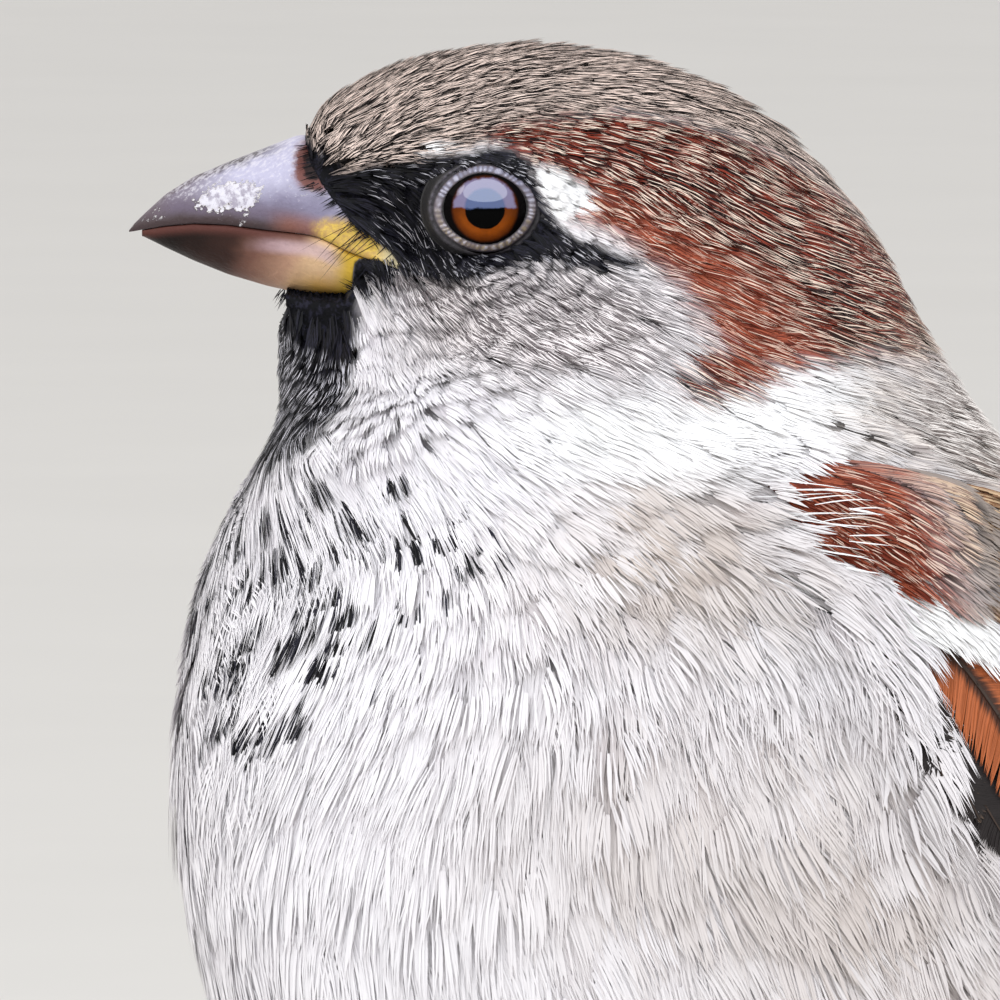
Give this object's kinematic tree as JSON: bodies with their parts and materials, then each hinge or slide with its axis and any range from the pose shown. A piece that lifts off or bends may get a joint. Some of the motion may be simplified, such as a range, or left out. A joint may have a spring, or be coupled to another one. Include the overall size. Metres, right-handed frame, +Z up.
{
  "type": "house sparrow",
  "caption": "Standing male house sparrow, plump and upright, head turned aside, conical bill, folded wings and narrow tail.",
  "frame": {"origin": "on the floor, under the centre of the bird's bounding box", "axes": "+Z up; the body faces -Y; the bird's left side is +X; the head is turned to its right"},
  "size_m": [0.0526, 0.143, 0.1117],
  "materials": {
    "head_feather": "soft feathers, matt",
    "neck_feather": "soft feathers, matt",
    "body_feather": "loose fluffed feathers, matt",
    "covert_feather": "overlapping small feathers, low sheen",
    "secondary_feather": "stiff feathers, low sheen",
    "primary_feather": "stiff feathers, low sheen",
    "tail_feather": "stiff feathers, low sheen",
    "upper_horn": "worn horn, half gloss",
    "lower_horn": "horn, half gloss",
    "eye": "wet, high gloss",
    "leg_scale": "scaled skin, matt",
    "claw_horn": "horn, half gloss"
  },
  "bodies": {
    "root": {"head": "head_feather", "neck": "neck_feather", "trunk": "body_feather", "rump": "body_feather", "tail": "tail_feather", "upper_bill": "upper_horn", "lower_bill": "lower_horn", "eye_left": "eye", "thigh_left": "body_feather", "shank_left": "leg_scale", "wing_coverts_left": "covert_feather", "wing_secondaries_left": "secondary_feather", "wing_primaries_left": "primary_feather", "toe_inner_left": "leg_scale", "claw_inner_left": "claw_horn", "toe_middle_left": "leg_scale", "claw_middle_left": "claw_horn", "toe_outer_left": "leg_scale", "claw_outer_left": "claw_horn", "toe_hind_left": "leg_scale", "claw_hind_left": "claw_horn", "eye_right": "eye", "thigh_right": "body_feather", "shank_right": "leg_scale", "wing_coverts_right": "covert_feather", "wing_secondaries_right": "secondary_feather", "wing_primaries_right": "primary_feather", "toe_inner_right": "leg_scale", "claw_inner_right": "claw_horn", "toe_middle_right": "leg_scale", "claw_middle_right": "claw_horn", "toe_outer_right": "leg_scale", "claw_outer_right": "claw_horn", "toe_hind_right": "leg_scale", "claw_hind_right": "claw_horn"}
  },
  "joints": []
}
